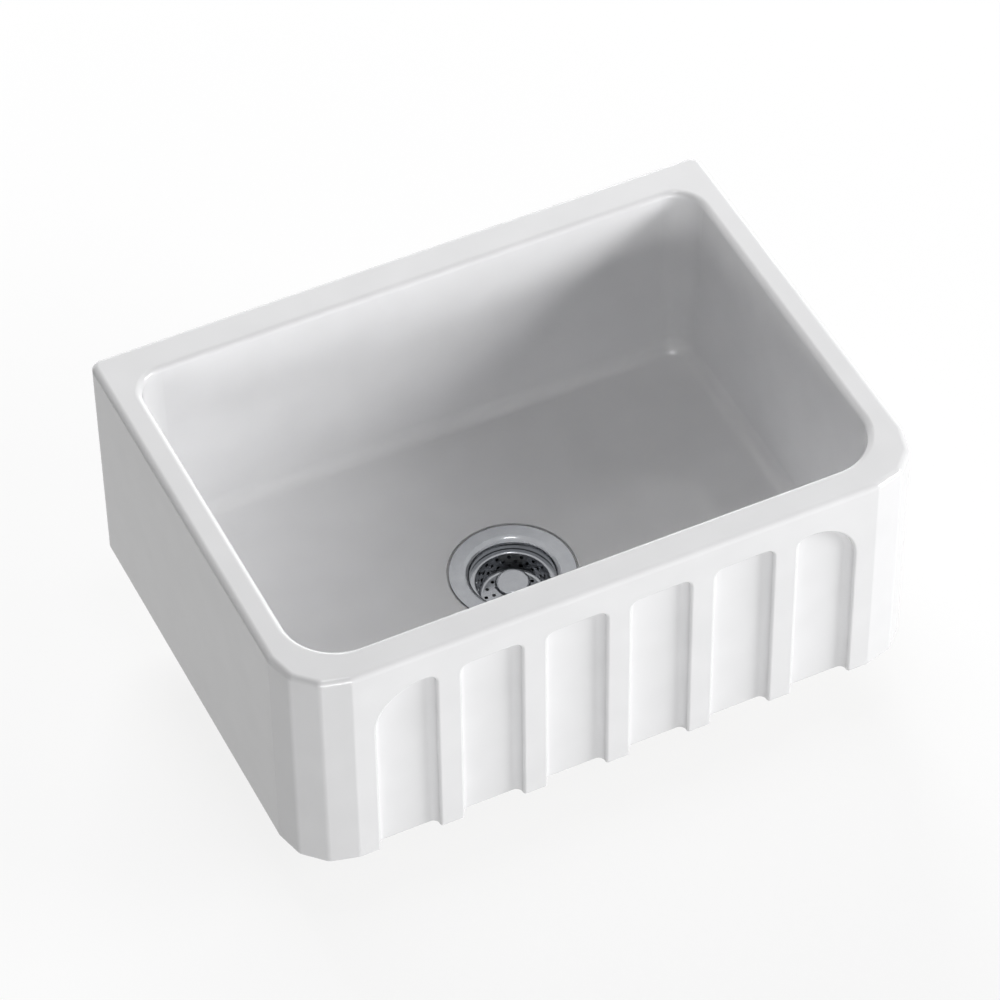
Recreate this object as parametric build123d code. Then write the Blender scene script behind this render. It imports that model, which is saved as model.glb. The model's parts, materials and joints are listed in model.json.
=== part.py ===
from build123d import *
from math import cos, pi, radians, sin, tan
import os

# Butler sink of glazed fireclay with an arcaded front and a basket strainer waste.
# Millimetres. X runs along the front from left to right, Y from the front to the back, Z up.
# The origin is the middle of the flat base, on which the sink stands on its cabinet.

# Basin, outside
width = 595.0
depth = 435.0
height = 230.0
corner_reach = 52.0          # how far the flats of a front corner reach along each face
corner_flats = 3
corner_blend = 8.0           # rounds the edge between two flats
back_corner_radius = 10.0
rim_round = 6.0
base_round = 2.5

# Basin, inside
side_rim = 26.0
front_rim = 31.5
back_rim = 35.5
bowl_front_radius = 48.0
bowl_back_radius = 28.0
wall_draft = 1.8             # degrees
bowl_lip_round = 6.0
floor_cove = 14.0
floor_edge_height = 41.0     # bowl floor above the base, where it meets the walls
floor_fall = 3.5             # from the walls down to the waste

# Relief on the front: recesses with round shoulders, open at the base
recess_width = 56.0
rib_width = 23.0
recess_depth = 9.0
top_band = 33.0              # plain band between the recesses and the rim
recess_shoulder = 9.0
end_shoulder = 44.0          # outer shoulder of the first and the last recess
recess_cove = 6.0
recess_edge_round = 2.5
end_margin = 18.0            # least plain margin beside the first and the last recess

# Hole in the floor for the waste
waste_forward = 8.0          # how far the waste sits in front of the bowl's middle
waste_hole_radius = 45.0
seat_depth = 3.0
seat_clearance = 2.0
seat_land = 5.0              # level ring of floor round the seat
under_recess_depth = 10.0
under_recess_clearance = 4.0

# Strainer dish and its seals
flange_radius = 57.0
dish_sheet = 1.2
mouth_radius = 38.5
mouth_lip = 6.0
shoulder_depth = 12.5        # basket shelf below the flange
shoulder_width = 3.0
dish_depth = 49.3
dish_bottom_round = 6.0
drain_hole_radius = 4.2
drain_hole_circle = 13.0
drain_hole_count = 6
flange_gasket_thickness = 1.6
gasket_inset = 1.0           # how far the seals stay inside the flange and outside the hole
lower_gasket_thickness = 3.0

# Lower housing under the sink
housing_flange_radius = 62.0
housing_flange_thickness = 5.0
housing_wall = 4.5
housing_clearance = 2.8      # between the dish and the housing's wall
housing_skirt = 5.5          # straight wall below the dish
housing_cone_height = 14.5
spigot_depth = 3.0           # straight end of the cone, welded in the collar of the tail
spigot_wall = 6.0
tail_bore_radius = 19.5
tail_thread_radius = 23.9    # 1 1/2 inch pipe thread
tail_length = 30.0
collar_depth = 10.0          # collar of the tail below the spigot
collar_wall = 4.0
collar_round = 1.0
web_count = 3
web_thickness = 4.0
web_drop = 8.0               # from the dish down to the webs
hub_radius = 9.0
hub_height = 14.0

# Screw through the middle of the dish
screw_radius = 3.0
screw_clearance = 0.4
screw_head_radius = 6.5
screw_head_height = 2.4
screw_slot_width = 1.4
screw_slot_depth = 1.2
screw_tip = 4.0              # screw beyond the insert
screw_washer_radius = 7.5
screw_washer_thickness = 1.0
insert_radius = 5.5
insert_length = 12.0
press_clearance = 0.05       # parts that are held in one another
thread_clearance = 0.1

# Basket
basket_sheet = 0.8
basket_rim_clearance = 0.7
basket_wall_clearance = 1.2
basket_wall_lean = 4.0       # how much narrower the basket is at its floor
basket_bottom_round = 3.0
basket_seat_gap = 0.2
strainer_hole_radius = 1.75
strainer_rows = 3
strainer_row_pitch = 4.6
strainer_hole_count = 18
floor_rings = 2
floor_ring_pitch = 7.0
floor_hole_pitch = 9.5
bush_radius = 7.0
bush_flange_radius = 9.5
bush_flange_thickness = 1.2
bush_height = 5.0
bush_collar = 0.6            # swaged under the basket's floor
bush_cap_height = 2.2
running_clearance = 0.08
clip_wire = 0.6              # radius of the spring wire
clip_gap = 40.0              # degrees left open in the clip
clip_clearance = 0.3

# Stopper on its stem
stopper_travel = 8.0
lift_clearance = 0.5         # left between plate and bush when the stopper is up
stem_radius = 4.0
stem_thread_radius = 2.5
stem_groove_depth = 0.5
knob_radius = 16.0
knob_height = 8.5
knob_neck_radius = 6.5
knob_neck_height = 3.0
knob_socket = 5.5
stem_above_bush = 2.5        # free stem between the bush and the knob
seal_radius = 25.0
seal_lip_width = 6.0
seal_height = 7.5
seal_web = 2.2
seal_hole_radius = 7.5
seal_gap = 0.2               # above the floor of the dish when closed
plate_radius = 22.0
plate_thickness = 1.2
nut_across_flats = 8.0
nut_height = 2.4
stem_tail = 0.4              # stem beyond its nut

# Levels and centres that follow from the sizes above
bowl_width = width - 2 * side_rim
bowl_depth = depth - front_rim - back_rim
bowl_middle_y = (front_rim - back_rim) / 2
waste_y = bowl_middle_y - waste_forward
floor_low = floor_edge_height - floor_fall
seat_radius = flange_radius + seat_clearance
seat_level = floor_low - seat_depth
flange_top = seat_level + flange_gasket_thickness + dish_sheet
shoulder_level = flange_top - shoulder_depth
dish_radius = mouth_radius - shoulder_width
dish_floor = flange_top - dish_depth
dish_under = dish_floor - dish_sheet
housing_top = under_recess_depth - lower_gasket_thickness
housing_bore = mouth_radius + dish_sheet + housing_clearance
cone_top = dish_under - housing_skirt
cone_bottom = cone_top - housing_cone_height
housing_end = cone_bottom - spigot_depth
spigot_radius = tail_bore_radius + spigot_wall
collar_under = housing_end - collar_depth
tail_end = collar_under - tail_length
hub_top = dish_under - web_drop
hub_bottom = hub_top - hub_height
screw_hole_radius = screw_radius + screw_clearance
head_under = dish_floor + screw_washer_thickness
insert_bottom = hub_top - insert_length
seal_under = dish_floor + seal_gap
plate_under = seal_under + seal_height
plate_top = plate_under + plate_thickness
bush_under = plate_top + stopper_travel + lift_clearance
basket_under = bush_under + bush_collar
basket_floor = basket_under + basket_sheet
basket_rim_under = shoulder_level + basket_seat_gap
basket_rim_radius = mouth_radius - basket_rim_clearance
basket_top_radius = dish_radius - basket_wall_clearance - basket_sheet
basket_floor_radius = basket_top_radius - basket_wall_lean
bush_bore = stem_radius + running_clearance
bush_shoulder = basket_floor + bush_flange_thickness
bush_top = bush_shoulder + bush_height
clip_level = bush_top - clip_wire - clip_clearance
clip_radius = stem_radius + clip_clearance + clip_wire
clip_seat_radius = clip_radius + clip_wire + clip_clearance
clip_seat_floor = clip_level - clip_wire - clip_clearance
cap_top = bush_top + bush_cap_height
stem_top = cap_top + stem_above_bush


def turned(points, rounds=()):
    """Solid of revolution about Z from a closed (radius, height) outline with some corners rounded."""
    section = make_face(Polyline(*points, close=True))
    for corner, radius in rounds:
        section = fillet(section.vertices().sort_by_distance(corner)[0], radius)
    return revolve(Plane.XZ * section, Axis.Z)


def disc(radius, bottom, top):
    return Pos(0, 0, bottom) * extrude(Circle(radius), top - bottom)


def ring(outer, inner, bottom, top):
    return disc(outer, bottom, top) - disc(inner, bottom, top)


def around(count, radius, piece):
    """Copies of a piece, evenly spaced on a circle about Z, the first one towards the back."""
    return [loc * piece for loc in PolarLocations(radius, count, start_angle=90)]


def at_waste(piece):
    return Pos(0, waste_y, 0) * piece


def corner_points(side):
    """Plan points of a front corner made of flats, from the side face to the front; side is -1 or 1."""
    points = []
    for k in range(corner_flats + 1):
        turn = radians(90 * k / corner_flats)
        from_side = corner_reach * (1 - cos(turn))
        from_front = corner_reach * (1 - sin(turn))
        points.append((side * (width / 2 - from_side), from_front - depth / 2))
    return points


def basin_block():
    left = corner_points(-1)
    right = corner_points(1)
    back = [(width / 2, depth / 2), (-width / 2, depth / 2)]
    block = extrude(make_face(Polyline(*left, *reversed(right), *back, close=True)), height)
    uprights = block.edges().filter_by(Axis.Z).sort_by(Axis.Y)
    block = fillet(uprights[-2:], back_corner_radius)
    uprights = block.edges().filter_by(Axis.Z).sort_by(Axis.Y)
    return fillet(uprights[:len(left + right)], corner_blend)


def recess_cutter(middle_x, left_shoulder, right_shoulder):
    """One recess as a solid to cut away, with the cove between its walls and its floor."""
    top = height - top_band
    below = recess_cove + base_round
    outline = Pos(middle_x, (top - below) / 2) * Rectangle(recess_width, top + below)
    for side, shoulder in ((-1, left_shoulder), (1, right_shoulder)):
        corner = (middle_x + side * recess_width / 2, top)
        outline = fillet(outline.vertices().sort_by_distance(corner)[0], shoulder)
    front = Plane(origin=(0, -depth / 2, 0), x_dir=(1, 0, 0), z_dir=(0, -1, 0))
    cutter = extrude(front * outline, -recess_depth) + extrude(front * outline, recess_depth)
    floor_edges = cutter.faces().sort_by(Axis.Y)[-1].edges()
    return fillet([e for e in floor_edges if e.center().Z > 0], recess_cove)


def recess_cutters():
    front_width = width - 2 * corner_reach - 2 * end_margin
    pitch = recess_width + rib_width
    count = int((front_width + rib_width) // pitch)
    cutters = []
    for k in range(count):
        left = end_shoulder if k == 0 else recess_shoulder
        right = end_shoulder if k == count - 1 else recess_shoulder
        cutters.append(recess_cutter((k - (count - 1) / 2) * pitch, left, right))
    return cutters


def bowl_cutter():
    """The inside of the bowl: drafted walls, a cove and a floor that falls to the waste."""
    mouth = Pos(0, bowl_middle_y) * Rectangle(bowl_width, bowl_depth)
    mouth = fillet(mouth.vertices().filter_by(lambda v: v.Y > 0), bowl_back_radius)
    mouth = fillet(mouth.vertices().sort_by(Axis.Y)[:2], bowl_front_radius)
    drop = height - floor_edge_height
    bowl = extrude(Pos(0, 0, height) * mouth, drop, dir=(0, 0, -1), taper=wall_draft)
    bowl = fillet(bowl.faces().sort_by(Axis.Z)[0].edges(), floor_cove)
    inset = drop * tan(radians(wall_draft)) + floor_cove
    land = seat_radius + seat_land
    upper = Pos(0, bowl_middle_y, floor_edge_height) * RectangleRounded(
        bowl_width - 2 * inset, bowl_depth - 2 * inset, bowl_back_radius / 4)
    lower = Pos(0, waste_y, floor_low) * RectangleRounded(2 * land, 2 * land, land * 0.98)
    return bowl + loft([upper, lower], ruled=True)


def make_sink_basin():
    basin = basin_block()
    for cutter in recess_cutters():
        basin -= cutter
    front_face = basin.faces().filter_by(Axis.Y).sort_by(Axis.Y)[0]
    recess_edges = [e for e in front_face.edges() if base_round < e.center().Z < height - base_round]
    inner = width / 2 - corner_reach - corner_blend
    basin = fillet([e for e in recess_edges if abs(e.center().X) < inner], recess_edge_round)
    basin = fillet(basin.faces().sort_by(Axis.Z)[-1].edges(), rim_round)
    basin = fillet(basin.faces().sort_by(Axis.Z)[0].edges(), base_round)
    basin -= bowl_cutter()
    lip = basin.faces().sort_by(Axis.Z)[-1].inner_wires()[0]
    basin = fillet(lip.edges(), bowl_lip_round)
    basin -= at_waste(disc(seat_radius, seat_level, height))
    basin -= at_waste(disc(waste_hole_radius, 0, height))
    under_radius = housing_flange_radius + under_recess_clearance
    return basin - at_waste(disc(under_radius, 0, under_recess_depth))


def make_waste_flange():
    """Pressed dish with a broad flange, a shelf for the basket and holes in its floor."""
    skin = dish_sheet
    wet = [(flange_radius, flange_top), (mouth_radius, flange_top), (mouth_radius, shoulder_level),
           (dish_radius, shoulder_level), (dish_radius, dish_floor), (screw_hole_radius, dish_floor)]
    dry = [(screw_hole_radius, dish_under), (dish_radius + skin, dish_under),
           (dish_radius + skin, shoulder_level - skin), (mouth_radius + skin, shoulder_level - skin),
           (mouth_radius + skin, flange_top - skin), (flange_radius, flange_top - skin)]
    dish = turned(wet + dry, [
        (wet[0], skin * 0.45), (wet[1], mouth_lip), (wet[3], skin * 0.8), (wet[4], dish_bottom_round),
        (dry[1], dish_bottom_round + skin), (dry[3], skin * 0.8), (dry[4], mouth_lip - skin),
        (dry[5], skin * 0.45)])
    drill = disc(drain_hole_radius, dish_under, dish_floor)
    return dish - around(drain_hole_count, drain_hole_circle, drill)


def make_flange_gasket():
    inner = waste_hole_radius + gasket_inset
    return ring(flange_radius - gasket_inset, inner, seat_level, seat_level + flange_gasket_thickness)


def make_lower_gasket():
    inner = waste_hole_radius + gasket_inset
    return ring(housing_flange_radius - gasket_inset, inner, housing_top, under_recess_depth)


def make_waste_body():
    """Moulded housing: clamping flange, cone, spigot for the tail, and webs round the screw's hub."""
    outer = housing_bore + housing_wall
    flange_under = housing_top - housing_flange_thickness
    bore = [(0, housing_top), (housing_bore, housing_top), (housing_bore, cone_top),
            (tail_bore_radius, cone_bottom), (tail_bore_radius, housing_end), (0, housing_end)]
    skin = [(0, housing_top), (housing_flange_radius, housing_top),
            (housing_flange_radius, flange_under), (outer, flange_under), (outer, cone_top),
            (spigot_radius, cone_bottom), (spigot_radius, housing_end), (0, housing_end)]
    cavity = turned(bore)
    housing = turned(skin, [(skin[2], 1.0), (skin[3], 2.0), (skin[4], 4.0)]) - cavity
    web = Box(housing_bore, web_thickness, hub_height, align=(Align.MIN, Align.CENTER, Align.MIN))
    carrier = disc(hub_radius, hub_bottom, hub_top)
    for k in range(web_count):
        carrier += Rot(0, 0, 90 + 360 * k / web_count) * Pos(0, 0, hub_bottom) * web
    carrier = carrier & cavity
    carrier -= disc(insert_radius, insert_bottom, hub_top)
    carrier -= disc(screw_hole_radius, hub_bottom, insert_bottom)
    return housing + carrier


def make_outlet_tail():
    """Threaded tail, with a collar round the housing's spigot."""
    collar_bore = spigot_radius + press_clearance
    collar_outer = collar_bore + collar_wall
    lower_edge = (collar_outer, collar_under)
    upper_edge = (collar_outer, cone_bottom)
    return turned([(tail_bore_radius, tail_end), (tail_thread_radius, tail_end),
                   (tail_thread_radius, collar_under), lower_edge, upper_edge, (collar_bore, cone_bottom),
                   (collar_bore, housing_end), (tail_bore_radius, housing_end)],
                  [(lower_edge, collar_round), (upper_edge, collar_round)])


def make_screw_insert():
    return ring(insert_radius - press_clearance, screw_radius + thread_clearance, insert_bottom, hub_top)


def make_fixing_screw():
    head_top = head_under + screw_head_height
    shank = disc(screw_radius, insert_bottom - screw_tip, head_under)
    head = disc(screw_head_radius, head_under, head_top)
    head = fillet(head.edges().sort_by(Axis.Z)[-1], screw_head_height / 2)
    slot = Pos(0, 0, head_top) * Box(3 * screw_head_radius, screw_slot_width, 2 * screw_slot_depth)
    return shank + head - slot


def make_screw_washer():
    return ring(screw_washer_radius, screw_hole_radius, dish_floor, head_under)


def make_basket_cup():
    """Pressed and perforated basket with a flat rim that hangs on the dish's shelf."""
    skin = basket_sheet
    rim_top = basket_rim_under + skin
    hole = bush_radius + press_clearance
    wet = [(basket_rim_radius, rim_top), (basket_top_radius, rim_top),
           (basket_floor_radius, basket_floor), (hole, basket_floor)]
    dry = [(hole, basket_under), (basket_floor_radius + skin, basket_under),
           (basket_top_radius + skin, basket_rim_under), (basket_rim_radius, basket_rim_under)]
    cup = turned(wet + dry, [(wet[1], 2 * skin), (wet[2], basket_bottom_round),
                             (dry[1], basket_bottom_round + skin), (dry[2], skin)])
    first_row = basket_floor + basket_bottom_round + strainer_hole_radius + skin / 2
    middle = (basket_top_radius + basket_floor_radius) / 2
    drill = Rot(0, 90, 0) * Cylinder(strainer_hole_radius, middle)
    for k in range(strainer_rows):
        turn = Rot(0, 0, 180 * (k % 2) / strainer_hole_count)
        place = Pos(0, 0, first_row + k * strainer_row_pitch) * turn
        cup -= [place * cut for cut in around(strainer_hole_count, middle, drill)]
    first_ring = basket_floor_radius - basket_bottom_round - strainer_hole_radius - skin
    for k in range(floor_rings):
        radius = first_ring - k * floor_ring_pitch
        count = int(2 * pi * radius // floor_hole_pitch)
        cup -= around(count, radius, disc(strainer_hole_radius, basket_under, basket_floor))
    return cup


def make_basket_bush():
    """Bush swaged into the basket's floor: it guides the stem and holds the spring clip."""
    outline = [(bush_bore, bush_under), (bush_flange_radius, bush_under),
               (bush_flange_radius, basket_under), (bush_radius, basket_under),
               (bush_radius, basket_floor), (bush_flange_radius, basket_floor),
               (bush_flange_radius, bush_shoulder), (bush_radius, bush_shoulder),
               (bush_radius, bush_top), (clip_seat_radius, bush_top),
               (clip_seat_radius, clip_seat_floor), (bush_bore, clip_seat_floor)]
    return turned(outline)


def make_bush_cap():
    return ring(bush_radius, bush_bore, bush_top, cap_top)


def make_detent_clip():
    """Open ring of spring wire that snaps into the stem's grooves."""
    section = Plane.XZ * Pos(clip_radius, clip_level) * Circle(clip_wire)
    return Rot(0, 0, 90 + clip_gap / 2) * revolve(section, Axis.Z, 360 - clip_gap)


def make_stopper_stem():
    """Stem with two grooves for the clip, a thread for the knob and one for the nut."""
    half = clip_wire + clip_clearance
    shut = clip_level
    lifted = clip_level - stopper_travel
    nut_bottom = plate_under - nut_height
    groove = stem_radius - stem_groove_depth
    outline = [(0, nut_bottom - stem_tail), (stem_thread_radius, nut_bottom - stem_tail),
               (stem_thread_radius, plate_top), (stem_radius, plate_top)]
    for level in (lifted, shut):
        outline += [(stem_radius, level - half), (groove, level - half / 2),
                    (groove, level + half / 2), (stem_radius, level + half)]
    outline += [(stem_radius, stem_top), (stem_thread_radius, stem_top),
                (stem_thread_radius, stem_top + knob_socket), (0, stem_top + knob_socket)]
    return turned(outline)


def make_stopper_knob():
    top = stem_top + knob_height
    waist = stem_top + knob_neck_height
    bore = stem_thread_radius + press_clearance
    socket_top = stem_top + knob_socket + press_clearance
    outline = [(bore, stem_top), (knob_neck_radius, stem_top), (knob_neck_radius, waist),
               (knob_radius, waist), (knob_radius, top), (0, top), (0, socket_top), (bore, socket_top)]
    head = top - waist
    rounds = [(outline[2], head * 0.25), (outline[3], head * 0.2), (outline[4], head * 0.7)]
    return turned(outline, rounds)


def make_stopper_seal():
    """Rubber cup washer: a deep outer lip that seals on the dish and a thin web under the plate."""
    web_under = plate_under - seal_web
    lip_inner = seal_radius - seal_lip_width
    outline = [(seal_hole_radius, plate_under), (seal_radius, plate_under), (seal_radius, seal_under),
               (lip_inner, seal_under), (lip_inner, web_under), (seal_hole_radius, web_under)]
    return turned(outline, [(outline[1], 1.0), (outline[4], 1.0)])


def make_stopper_plate():
    plate = ring(plate_radius, stem_thread_radius + press_clearance, plate_under, plate_top)
    outer_edges = plate.edges().filter_by(GeomType.CIRCLE).group_by(SortBy.RADIUS)[-1]
    return fillet(outer_edges.sort_by(Axis.Z)[-1], plate_thickness / 2)


def make_stem_nut():
    nut = extrude(RegularPolygon(nut_across_flats / 2, 6, major_radius=False), nut_height)
    nut = Pos(0, 0, plate_under - nut_height) * nut
    return nut - disc(stem_thread_radius + press_clearance, plate_under - nut_height, plate_under)


nodes = {
    "sink_basin": make_sink_basin(),
    "waste_flange": at_waste(make_waste_flange()),
    "flange_gasket": at_waste(make_flange_gasket()),
    "lower_gasket": at_waste(make_lower_gasket()),
    "waste_body": at_waste(make_waste_body()),
    "outlet_tail": at_waste(make_outlet_tail()),
    "screw_insert": at_waste(make_screw_insert()),
    "fixing_screw": at_waste(make_fixing_screw()),
    "screw_washer": at_waste(make_screw_washer()),
    "basket_cup": at_waste(make_basket_cup()),
    "basket_bush": at_waste(make_basket_bush()),
    "bush_cap": at_waste(make_bush_cap()),
    "detent_clip": at_waste(make_detent_clip()),
    "stopper_stem": at_waste(make_stopper_stem()),
    "stopper_knob": at_waste(make_stopper_knob()),
    "stopper_plate": at_waste(make_stopper_plate()),
    "stopper_seal": at_waste(make_stopper_seal()),
    "stem_nut": at_waste(make_stem_nut()),
}

os.makedirs("parts", exist_ok=True)
for name, solid in nodes.items():
    export_step(solid, f"parts/{name}.step")
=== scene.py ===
import json
import math

import bpy
from mathutils import Matrix, Vector


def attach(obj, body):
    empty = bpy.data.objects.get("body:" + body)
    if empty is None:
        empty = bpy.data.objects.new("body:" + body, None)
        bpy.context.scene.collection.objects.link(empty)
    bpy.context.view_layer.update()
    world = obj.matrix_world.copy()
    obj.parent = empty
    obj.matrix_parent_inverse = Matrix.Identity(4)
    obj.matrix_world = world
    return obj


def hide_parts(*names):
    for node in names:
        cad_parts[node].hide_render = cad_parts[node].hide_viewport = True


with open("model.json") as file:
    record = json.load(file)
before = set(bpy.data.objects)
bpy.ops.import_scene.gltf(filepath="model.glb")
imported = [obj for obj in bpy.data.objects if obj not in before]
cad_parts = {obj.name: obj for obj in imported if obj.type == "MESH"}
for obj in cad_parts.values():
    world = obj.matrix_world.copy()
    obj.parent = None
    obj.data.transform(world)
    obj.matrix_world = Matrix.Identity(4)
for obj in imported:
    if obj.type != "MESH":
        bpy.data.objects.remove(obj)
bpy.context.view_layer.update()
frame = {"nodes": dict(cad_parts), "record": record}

# The outlet, from its mount and its solid
outlet_mount = next(m for m in frame["record"]["mounts"] if m["name"] == "waste_outlet")
outlet_corners = [Vector(corner) for corner in frame["nodes"]["outlet_tail"].bound_box]
WASTE_AXIS = (outlet_mount["pos_m"][0], outlet_mount["pos_m"][1], 0.0)
TAIL_BOTTOM = min(corner.z for corner in outlet_corners)
COLLAR_TOP = max(corner.z for corner in outlet_corners)
COLLAR_RADIUS = max(corner.x for corner in outlet_corners)
COLLAR_UNDER = TAIL_BOTTOM + outlet_mount["dims"]["length_mm"] / 1000
THREAD_RADIUS = outlet_mount["dims"]["r_mm"] / 1000
TAIL_BORE = 0.0195
SPIGOT_DEPTH = 0.003
SPIGOT_RADIUS = 0.02555
THREAD_PITCH = 0.0254 / 11        # 11 threads to the inch
THREAD_DEPTH = 0.0012
THREAD_FOOT = 0.8                 # width of the ridge at its foot, as a share of the pitch
THREAD_CREST = 0.3                # width at the crest, as a share of the foot
THREAD_STEPS = 96                 # to a turn
TUBE_SIDES = 128
EDGE_ROUND = 0.0006

# The finishes, their patterns in metres
GLAZE_WAVE = 0.045
GLAZE_PEEL = 0.006
GLAZE_RELIEF = 0.0004
GLAZE_EDGE = 0.0006               # height over which the glaze thins out above the base
GLAZE_ROUGHNESS = 0.06
CLAY_GRIT = 0.0015
CLAY_ROUGHNESS = 0.85
PEEL_SHARE = 0.06                 # of the relief, beside the wave
METAL_SMEAR = 0.012
METAL_RELIEF = 0.00005
WAVE_RATE = 20.0                  # radians per metre in a wave texture at scale 1
SKIN_RELIEF = 0.0002

# The studio
FLOOR_WIDTH = 30.0
FLOOR_GLOW = 0.85                 # the rest of what the camera sees takes shadow
ROOM_LEVEL = 0.03
LAMP_DISTANCE = 5.0
LIT_POINT = Vector((0.0, 0.0, 0.12))
CAMERA_PLACE = (-1.2395, -2.6114, 3.2008)
CAMERA_LENS = 173.85              # millimetres, on a sensor 36 mm wide


def colour(code):
    """Linear colour of an sRGB hex value."""
    levels = [int(code[k:k + 2], 16) / 255 for k in (1, 3, 5)]
    return [v / 12.92 if v <= 0.04045 else ((v + 0.055) / 1.055) ** 2.4 for v in levels] + [1.0]


def add(tree, kind, settings=None, **inputs):
    """Adds one node, sets its properties, and sets or links its inputs by name, or by place as i0, i1."""
    node = tree.nodes.new(kind)
    for key, value in (settings or {}).items():
        setattr(node, key, value)
    for key, value in inputs.items():
        by_place = key[0] == "i" and key[1:].isdigit()
        socket = node.inputs[int(key[1:]) if by_place else key.replace("_", " ")]
        if isinstance(value, bpy.types.NodeSocket):
            tree.links.new(value, socket)
        else:
            socket.default_value = value
    return node


def new_material(name):
    """Empty material: its tree, its shader, already linked to the output, and the place on the object."""
    material = bpy.data.materials.new(name)
    material.use_nodes = True
    tree = material.node_tree
    tree.nodes.clear()
    shader = add(tree, "ShaderNodeBsdfPrincipled")
    add(tree, "ShaderNodeOutputMaterial", Surface=shader.outputs[0])
    place = add(tree, "ShaderNodeTexCoord").outputs["Object"]
    return material, tree, shader, place


def make_glaze():
    """White glaze on fireclay: hard and wet-looking, a little wavy, with bare buff clay under the base."""
    material, tree, shader, place = new_material("white_fireclay_glaze")
    shader.inputs["IOR"].default_value = 1.52
    wave = add(tree, "ShaderNodeTexNoise", Vector=place, Scale=1 / GLAZE_WAVE, Detail=1.0)
    peel = add(tree, "ShaderNodeTexNoise", Vector=place, Scale=1 / GLAZE_PEEL, Detail=2.0)
    grit = add(tree, "ShaderNodeTexNoise", Vector=place, Scale=1 / CLAY_GRIT, Detail=3.0)
    glaze = add(tree, "ShaderNodeMix", {"data_type": "RGBA"},
                i0=wave.outputs[0], i6=colour("#E7E7E8"), i7=colour("#EFEFF0"))
    clay = add(tree, "ShaderNodeMix", {"data_type": "RGBA"},
               i0=grit.outputs[0], i6=colour("#AE9C7E"), i7=colour("#E0D4BC"))
    height = add(tree, "ShaderNodeSeparateXYZ", Vector=place)
    ragged = add(tree, "ShaderNodeMath", {"operation": "MULTIPLY_ADD"},
                 i0=peel.outputs[0], i1=-2 * GLAZE_EDGE, i2=height.outputs["Z"])
    glazed = add(tree, "ShaderNodeMapRange", Value=ragged.outputs[0], From_Min=0.0, From_Max=GLAZE_EDGE)
    skin = add(tree, "ShaderNodeMix", {"data_type": "RGBA"},
               i0=glazed.outputs[0], i6=clay.outputs[2], i7=glaze.outputs[2])
    rough = add(tree, "ShaderNodeMapRange", Value=glazed.outputs[0],
                To_Min=CLAY_ROUGHNESS, To_Max=GLAZE_ROUGHNESS)
    relief = add(tree, "ShaderNodeMath", {"operation": "MULTIPLY_ADD"},
                 i0=peel.outputs[0], i1=PEEL_SHARE, i2=wave.outputs[0])
    bump = add(tree, "ShaderNodeBump", Height=relief.outputs[0], Strength=0.25, Distance=GLAZE_RELIEF)
    tree.links.new(skin.outputs[2], shader.inputs["Base Color"])
    tree.links.new(rough.outputs[0], shader.inputs["Roughness"])
    tree.links.new(bump.outputs[0], shader.inputs["Normal"])
    return material


def make_metal(name, dark, light, roughness, spacing, strength):
    """Metal spun or turned about the waste's axis: fine rings, spaced in mm, under a faint smear.

    The rings are drawn wider apart than real tool marks, which are too fine to show.
    """
    material, tree, shader, place = new_material(name)
    shader.inputs["Metallic"].default_value = 1.0
    centred = add(tree, "ShaderNodeMapping", Vector=place, Location=(0.0, -WASTE_AXIS[1], 0.0))
    rings = add(tree, "ShaderNodeTexWave", {"wave_type": "RINGS", "rings_direction": "Z"},
                Vector=centred.outputs[0], Scale=2 * math.pi / (WAVE_RATE * spacing / 1000),
                Distortion=1.2, Detail=2.0)
    smear = add(tree, "ShaderNodeTexNoise", Vector=place, Scale=1 / METAL_SMEAR, Detail=3.0)
    tone = add(tree, "ShaderNodeMix", {"data_type": "RGBA"},
               i0=smear.outputs[0], i6=colour(dark), i7=colour(light))
    rough = add(tree, "ShaderNodeMapRange", Value=smear.outputs[0],
                To_Min=roughness * 0.7, To_Max=roughness * 1.3)
    bump = add(tree, "ShaderNodeBump",
               Height=rings.outputs["Fac"], Strength=strength, Distance=METAL_RELIEF)
    tree.links.new(tone.outputs[2], shader.inputs["Base Color"])
    tree.links.new(rough.outputs[0], shader.inputs["Roughness"])
    tree.links.new(bump.outputs[0], shader.inputs["Normal"])
    return material


def make_moulded(name, dark, light, roughness, grain):
    """Moulded rubber or plastic: the fine, even skin of the mould, its grain in millimetres."""
    material, tree, shader, place = new_material(name)
    skin = add(tree, "ShaderNodeTexNoise", Vector=place, Scale=1000 / grain, Detail=3.0)
    tone = add(tree, "ShaderNodeMix", {"data_type": "RGBA"},
               i0=skin.outputs[0], i6=colour(dark), i7=colour(light))
    bump = add(tree, "ShaderNodeBump", Height=skin.outputs[0], Strength=0.2, Distance=SKIN_RELIEF)
    shader.inputs["Roughness"].default_value = roughness
    tree.links.new(tone.outputs[2], shader.inputs["Base Color"])
    tree.links.new(bump.outputs[0], shader.inputs["Normal"])
    return material


def make_finishes():
    """The finish of each material slot in the record."""
    return {
        "white_glaze": make_glaze(),
        "polished_steel": make_metal("polished_stainless_steel", "#989A9E", "#AAACAF",
                                     roughness=0.16, spacing=0.6, strength=0.12),
        "brushed_steel": make_metal("turned_stainless_steel", "#96989B", "#AAACAF",
                                    roughness=0.3, spacing=0.4, strength=0.4),
        "turned_brass": make_metal("turned_brass", "#B48C40", "#C8A258",
                                   roughness=0.28, spacing=0.4, strength=0.4),
        "black_rubber": make_moulded("black_nitrile_rubber", "#141415", "#222224",
                                     roughness=0.62, grain=0.8),
        "moulded_plastic": make_moulded("moulded_polypropylene", "#D0D0CB", "#DEDEDA",
                                        roughness=0.42, grain=1.2),
    }


def dress(finishes):
    """Gives every CAD solid the finish of its slot."""
    for part in frame["record"]["subparts"]:
        for slot in frame["nodes"][part["node"]].material_slots:
            slot.material = finishes[part["material_slot"]]


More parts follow.
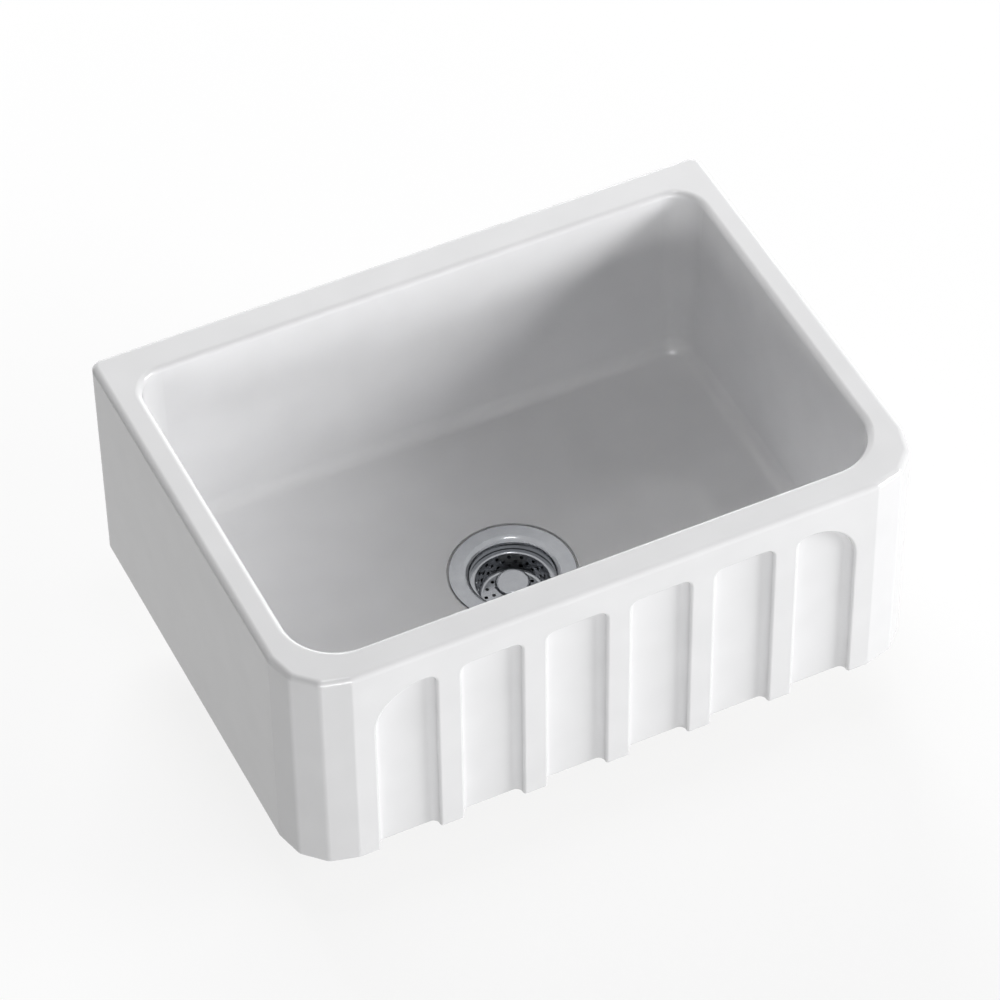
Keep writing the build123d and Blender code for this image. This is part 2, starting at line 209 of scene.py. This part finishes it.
def pick(piece, wanted):
    """In edit mode, selects the vertices of a piece whose place is wanted."""
    bpy.ops.mesh.select_mode(type="VERT")
    bpy.ops.mesh.select_all(action="DESELECT")
    bpy.ops.object.mode_set(mode="OBJECT")
    for vertex in piece.data.vertices:
        vertex.select = wanted(vertex.co)
    bpy.ops.object.mode_set(mode="EDIT")


def draw_collared_tube():
    """Tube of the tail, drawn ring by ring: up round the collar, down through the bore, closed below."""
    core = THREAD_RADIUS - THREAD_DEPTH
    length = COLLAR_UNDER - TAIL_BOTTOM
    spigot_end = COLLAR_TOP - SPIGOT_DEPTH
    bpy.ops.object.select_all(action="DESELECT")
    bpy.ops.mesh.primitive_cylinder_add(vertices=TUBE_SIDES, radius=core, depth=length,
                                        end_fill_type="NOTHING",
                                        location=(*WASTE_AXIS[:2], COLLAR_UNDER - length / 2))
    tube = bpy.context.object
    bpy.ops.object.transform_apply(location=True, rotation=True, scale=True)
    bpy.ops.object.mode_set(mode="EDIT")
    pick(tube, lambda place: place.z > COLLAR_UNDER - length / 2)
    radius = core
    for new_radius, rise in ((COLLAR_RADIUS, 0), (COLLAR_RADIUS, COLLAR_TOP - COLLAR_UNDER),
                             (SPIGOT_RADIUS, 0), (SPIGOT_RADIUS, -SPIGOT_DEPTH),
                             (TAIL_BORE, 0), (TAIL_BORE, TAIL_BOTTOM - spigot_end)):
        bpy.ops.mesh.extrude_region_move(TRANSFORM_OT_translate={"value": (0, 0, rise)})
        ratio = new_radius / radius
        bpy.ops.transform.resize(value=(ratio, ratio, 1), center_override=WASTE_AXIS)
        radius = new_radius
    pick(tube, lambda place: place.z < TAIL_BOTTOM + EDGE_ROUND)
    bpy.ops.mesh.bridge_edge_loops()
    bpy.ops.mesh.select_all(action="SELECT")
    bpy.ops.mesh.normals_make_consistent(inside=False)
    bpy.ops.object.mode_set(mode="OBJECT")
    bevel = tube.modifiers.new("moulded_edges", "BEVEL")
    bevel.width = EDGE_ROUND
    bevel.segments = 3
    bevel.limit_method = "ANGLE"
    bpy.ops.object.modifier_apply(modifier=bevel.name)
    return tube


def draw_thread():
    """Ridge of the thread: its section, narrow at the crest, swept up the tail as a helix."""
    rooted = THREAD_DEPTH + EDGE_ROUND / 2
    foot = THREAD_PITCH * THREAD_FOOT
    turns = int((COLLAR_UNDER - TAIL_BOTTOM) / THREAD_PITCH) - 2    # clear of both ends
    bpy.ops.object.select_all(action="DESELECT")
    bpy.ops.mesh.primitive_plane_add(size=1, location=(*WASTE_AXIS[:2], TAIL_BOTTOM),
                                     rotation=(math.pi / 2, 0, 0))
    ridge = bpy.context.object
    bpy.ops.object.transform_apply(location=False, rotation=True, scale=True)
    bpy.ops.object.mode_set(mode="EDIT")
    bpy.ops.transform.resize(value=(rooted, 1, foot))
    bpy.ops.transform.translate(value=(THREAD_RADIUS - rooted / 2, 0, THREAD_PITCH))
    pick(ridge, lambda place: place.x > THREAD_RADIUS - rooted / 2)
    bpy.ops.transform.resize(value=(1, 1, THREAD_CREST))
    bpy.ops.mesh.select_all(action="SELECT")
    bpy.ops.mesh.delete(type="ONLY_FACE")
    bpy.ops.object.mode_set(mode="OBJECT")
    screw = ridge.modifiers.new("helix", "SCREW")
    screw.screw_offset = THREAD_PITCH
    screw.iterations = turns
    screw.steps = THREAD_STEPS
    screw.render_steps = THREAD_STEPS
    bpy.ops.object.modifier_apply(modifier=screw.name)
    bpy.ops.object.mode_set(mode="EDIT")
    bpy.ops.mesh.select_all(action="SELECT")
    bpy.ops.mesh.fill_holes(sides=4)
    bpy.ops.mesh.select_all(action="SELECT")
    bpy.ops.mesh.normals_make_consistent(inside=False)
    bpy.ops.object.mode_set(mode="OBJECT")
    bpy.ops.object.transform_apply(location=True, rotation=True, scale=True)
    return ridge


def make_threaded_tail(finishes):
    """Outlet tail with its pipe thread, in place of the plain one."""
    tail = draw_collared_tube()
    draw_thread()
    tail.select_set(True)
    bpy.context.view_layer.objects.active = tail
    bpy.ops.object.join()
    bpy.ops.object.shade_smooth_by_angle(angle=math.radians(35))
    tail.name = "threaded_tail"
    tail.data.materials.append(finishes["moulded_plastic"])
    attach(tail, "basin")
    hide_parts("outlet_tail")


def seen_directly(tree):
    """One where the camera sees it, straight or by way of metal or glass, zero where it only gives light."""
    path = add(tree, "ShaderNodeLightPath")
    by_way = add(tree, "ShaderNodeMath", {"operation": "MAXIMUM"},
                 i0=path.outputs["Is Glossy Ray"], i1=path.outputs["Is Transmission Ray"])
    seen = add(tree, "ShaderNodeMath", {"operation": "MAXIMUM"},
               i0=path.outputs["Is Camera Ray"], i1=by_way.outputs[0])
    return seen.outputs[0]


def make_floor():
    """White sheet under the lowest point, near white with a faint shadow, and seen through from below."""
    bpy.ops.object.select_all(action="DESELECT")
    bpy.ops.mesh.primitive_plane_add(size=FLOOR_WIDTH, location=(0, 0, TAIL_BOTTOM))
    floor = bpy.context.object
    floor.name = "floor"
    material, tree, shader, _ = new_material("studio_paper")
    shader.inputs["Base Color"].default_value = colour("#8C8C8C")
    shader.inputs["Roughness"].default_value = 0.9
    pale = add(tree, "ShaderNodeBsdfDiffuse", Color=colour("#F4F4F4"))
    glow = add(tree, "ShaderNodeEmission", Color=(1, 1, 1, 1), Strength=1.0)
    shown = add(tree, "ShaderNodeMixShader", Fac=FLOOR_GLOW, i1=pale.outputs[0], i2=glow.outputs[0])
    mix = add(tree, "ShaderNodeMixShader",
              Fac=seen_directly(tree), i1=shader.outputs[0], i2=shown.outputs[0])
    below = add(tree, "ShaderNodeNewGeometry").outputs["Backfacing"]
    clear = add(tree, "ShaderNodeBsdfTransparent")
    sheet = add(tree, "ShaderNodeMixShader", Fac=below, i1=mix.outputs[0], i2=clear.outputs[0])
    tree.links.new(sheet.outputs[0], tree.nodes["Material Output"].inputs["Surface"])
    floor.data.materials.append(material)


def make_lamp(name, turn, rise, wide, tall, level, shine=True):
    """Soft box, turned from the front towards the right and raised, in degrees.

    The level is the light on a surface that faces it, in watts per square metre. Without shine it leaves
    no gleam on the glaze.
    """
    lamp = bpy.data.lights.new(name, "AREA")
    lamp.shape = "RECTANGLE"
    lamp.size = wide
    lamp.size_y = tall
    lamp.energy = level * math.pi * LAMP_DISTANCE ** 2
    holder = bpy.data.objects.new(name, lamp)
    bpy.context.scene.collection.objects.link(holder)
    holder.visible_glossy = shine
    turn, rise = math.radians(turn), math.radians(rise)
    out = Vector((math.sin(turn) * math.cos(rise), -math.cos(turn) * math.cos(rise), math.sin(rise)))
    holder.location = LIT_POINT + out * LAMP_DISTANCE
    holder.rotation_euler = out.to_track_quat("Z", "Y").to_euler()


def light():
    """Most light from the right and from behind, less from the front, a little on edges, left and bowl."""
    make_lamp("key", turn=60, rise=20, wide=2.6, tall=1.6, level=2.55)
    make_lamp("front", turn=-14, rise=5, wide=3.0, tall=1.0, level=1.56)
    make_lamp("back", turn=172, rise=33, wide=2.8, tall=1.4, level=2.85, shine=False)
    make_lamp("edge", turn=144, rise=15, wide=2.8, tall=0.4, level=0.3)
    make_lamp("fill", turn=-100, rise=2, wide=2.0, tall=0.5, level=0.14)
    make_lamp("top", turn=0, rise=85, wide=0.8, tall=0.8, level=0.24)


def make_world():
    """Dim room that the camera and the reflections see as white."""
    world = bpy.data.worlds.new("studio")
    bpy.context.scene.world = world
    world.use_nodes = True
    tree = world.node_tree
    tree.nodes.clear()
    room = add(tree, "ShaderNodeBackground", Color=(1, 1, 1, 1), Strength=ROOM_LEVEL)
    white = add(tree, "ShaderNodeBackground", Color=(1, 1, 1, 1), Strength=1.0)
    mix = add(tree, "ShaderNodeMixShader", Fac=seen_directly(tree), i1=room.outputs[0], i2=white.outputs[0])
    add(tree, "ShaderNodeOutputWorld", Surface=mix.outputs[0])


def make_camera():
    """Long lens, from the left and well above the front; the angles are those of the picture."""
    yaw, pitch, roll = math.radians(25.271), math.radians(-46.816), math.radians(-0.8405)
    ahead = Vector((math.sin(yaw) * math.cos(pitch), math.cos(yaw) * math.cos(pitch), math.sin(pitch)))
    right = Vector((math.cos(yaw), -math.sin(yaw), 0.0))
    up = right.cross(ahead)
    tilted_right = right * math.cos(roll) + up * math.sin(roll)
    tilted_up = up * math.cos(roll) - right * math.sin(roll)
    lens = bpy.data.cameras.new("camera")
    lens.sensor_width = 36.0
    lens.lens = CAMERA_LENS
    lens.clip_end = 100.0
    camera = bpy.data.objects.new("camera", lens)
    bpy.context.scene.collection.objects.link(camera)
    turn = Matrix((tilted_right, tilted_up, -ahead)).transposed()
    camera.matrix_world = Matrix.Translation(CAMERA_PLACE) @ turn.to_4x4()
    bpy.context.scene.camera = camera


finishes = make_finishes()
dress(finishes)
make_threaded_tail(finishes)
make_floor()
light()
make_world()
make_camera()
bpy.context.scene.view_settings.view_transform = "Standard"
